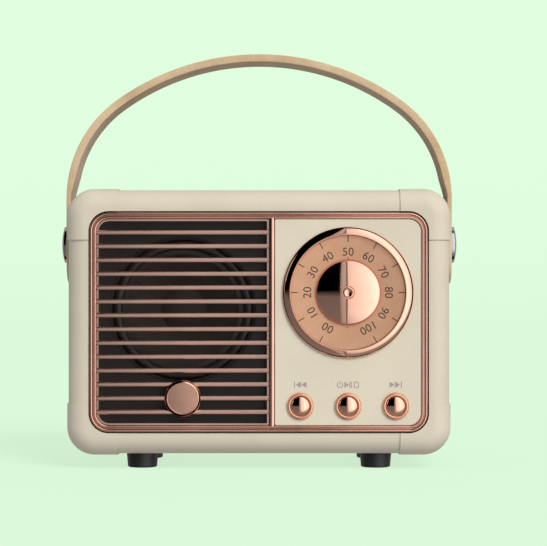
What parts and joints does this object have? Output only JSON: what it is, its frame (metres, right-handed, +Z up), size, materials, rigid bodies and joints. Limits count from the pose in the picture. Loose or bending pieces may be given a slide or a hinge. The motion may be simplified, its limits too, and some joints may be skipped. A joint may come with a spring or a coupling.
{
  "type": "tabletop radio",
  "caption": "Small box-shaped radio with a slatted speaker grille, a round numbered dial with a domed knob, push buttons, capped corners, rubber feet and a strap handle.",
  "frame": {"origin": "on the surface the feet stand on, at the centre of the whole radio's outline seen from above", "axes": "+X to the right seen from the front, +Y towards the back, +Z up; the dial and grille face -Y"},
  "size_m": [0.0892, 0.0436, 0.0916],
  "materials": {
    "cream_shell": "cream moulded ABS with a fine leather-grain texture",
    "rose_gold_trim": "rose-gold vacuum-metallised ABS, polished",
    "rose_gold_slats": "rose-gold painted ABS grille, satin gloss",
    "rose_gold_satin": "rose-gold metallic lacquer, satin",
    "badge_metal": "anodised rose-gold aluminium, fine spun face",
    "cream_panel": "cream moulded ABS, grained",
    "pointer_enamel": "salmon-red enamel",
    "black_chassis": "black moulded ABS",
    "strap_leather": "tan grain leather with a pale cut edge and a suede inner face",
    "rivet_steel": "dark nickel-plated steel, polished",
    "washer_nylon": "natural nylon",
    "spring_steel": "bright spring steel",
    "foot_rubber": "black rubber, moulded",
    "screw_steel": "black-zinc steel",
    "basket_steel": "black powder-coated pressed steel",
    "gasket_foam": "closed-cell foam rubber",
    "surround_rubber": "butyl rubber half roll",
    "cone_paper": "pressed black paper pulp",
    "dust_cap_cloth": "treated cloth",
    "coil_copper": "enamelled copper winding",
    "spider_cloth": "phenolic-treated cloth",
    "zinc_steel": "zinc-plated steel",
    "ferrite": "sintered ferrite",
    "board_laminate": "green solder-masked glass-epoxy laminate",
    "switch_plastic": "black PBT",
    "plunger_plastic": "ivory PBT",
    "control_metal": "nickel-plated steel can",
    "chip_epoxy": "moulded epoxy",
    "socket_steel": "tin-plated steel",
    "battery_wrap": "aluminium-laminate pouch",
    "pad_foam": "white foam tape",
    "antenna_copper": "copper foil",
    "lead_pvc": "red PVC insulation",
    "knob_chrome": "rose-gold plated, mirror polished",
    "button_chrome": "rose-gold plated, polished"
  },
  "bodies": {
    "cabinet": {"front_cap_top_right": "cream_shell", "front_cap_top_left": "cream_shell", "front_cap_bottom_right": "cream_shell", "front_cap_bottom_left": "cream_shell", "rear_corner_caps": "cream_shell", "front_shell": "cream_shell", "rear_cover": "cream_shell", "trim_frame": "rose_gold_trim", "chassis": "black_chassis", "grille": "rose_gold_slats", "badge": "badge_metal", "control_panel": "cream_panel", "dial_bezel": "rose_gold_trim", "dial_face": "rose_gold_satin", "tuning_control": "control_metal", "button_rings": "rose_gold_trim", "switch_bodies": "switch_plastic", "control_board": "board_laminate", "board_screws": "screw_steel", "cover_screws": "screw_steel", "speaker_screws": "screw_steel", "speaker_gasket": "gasket_foam", "speaker_basket": "basket_steel", "speaker_surround": "surround_rubber", "spider": "spider_cloth", "top_plate": "zinc_steel", "magnet": "ferrite", "pole_piece": "zinc_steel", "foot_front_right": "foot_rubber", "foot_front_left": "foot_rubber", "foot_rear_right": "foot_rubber", "foot_rear_left": "foot_rubber", "strap_rivets": "rivet_steel", "rivet_washers": "washer_nylon", "rivet_clips": "spring_steel", "main_board": "board_laminate", "board_parts": "chip_epoxy", "usb_socket": "socket_steel", "card_socket": "socket_steel", "battery_pad": "pad_foam", "battery": "battery_wrap", "antenna_strip": "antenna_copper", "speaker_lead": "lead_pvc", "battery_lead": "lead_pvc", "control_lead": "lead_pvc"},
    "carrying_strap": {"strap": "strap_leather"},
    "tuning_dial": {"tuning_knob": "knob_chrome", "knob_pin": "knob_chrome", "pointer_ring": "pointer_enamel", "control_shaft": "control_metal"},
    "previous_key": {"previous_button": "button_chrome", "previous_plunger": "plunger_plastic"},
    "play_key": {"play_button": "button_chrome", "play_plunger": "plunger_plastic"},
    "next_key": {"next_button": "button_chrome", "next_plunger": "plunger_plastic"},
    "moving_cone": {"speaker_cone": "cone_paper", "dust_cap": "dust_cap_cloth", "voice_coil": "coil_copper"}
  },
  "joints": [
    {"name": "strap_swing", "type": "hinge", "parent": "cabinet", "child": "carrying_strap", "pos_m": [0, 0.0015, 0.0491], "axis": [1, 0, 0], "range_deg": [-29, 29]},
    {"name": "dial_turn", "type": "hinge", "parent": "cabinet", "child": "tuning_dial", "pos_m": [0.01935, -0.02, 0.03849], "axis": [0, 1, 0], "range_deg": [-150, 150]},
    {"name": "previous_press", "type": "slide", "parent": "cabinet", "child": "previous_key", "axis": [0, 1, 0], "range_m": [0, 0.0004], "stiffness_N_per_m": 500, "springref_m": -0.001},
    {"name": "play_press", "type": "slide", "parent": "cabinet", "child": "play_key", "axis": [0, 1, 0], "range_m": [0, 0.0004], "stiffness_N_per_m": 500, "springref_m": -0.001},
    {"name": "next_press", "type": "slide", "parent": "cabinet", "child": "next_key", "axis": [0, 1, 0], "range_m": [0, 0.0004], "stiffness_N_per_m": 500, "springref_m": -0.001},
    {"name": "cone_travel", "type": "slide", "parent": "cabinet", "child": "moving_cone", "axis": [0, -1, 0], "range_m": [-0.0006, 0.0006], "stiffness_N_per_m": 1000, "deforming": ["speaker_surround", "spider"]}
  ]
}
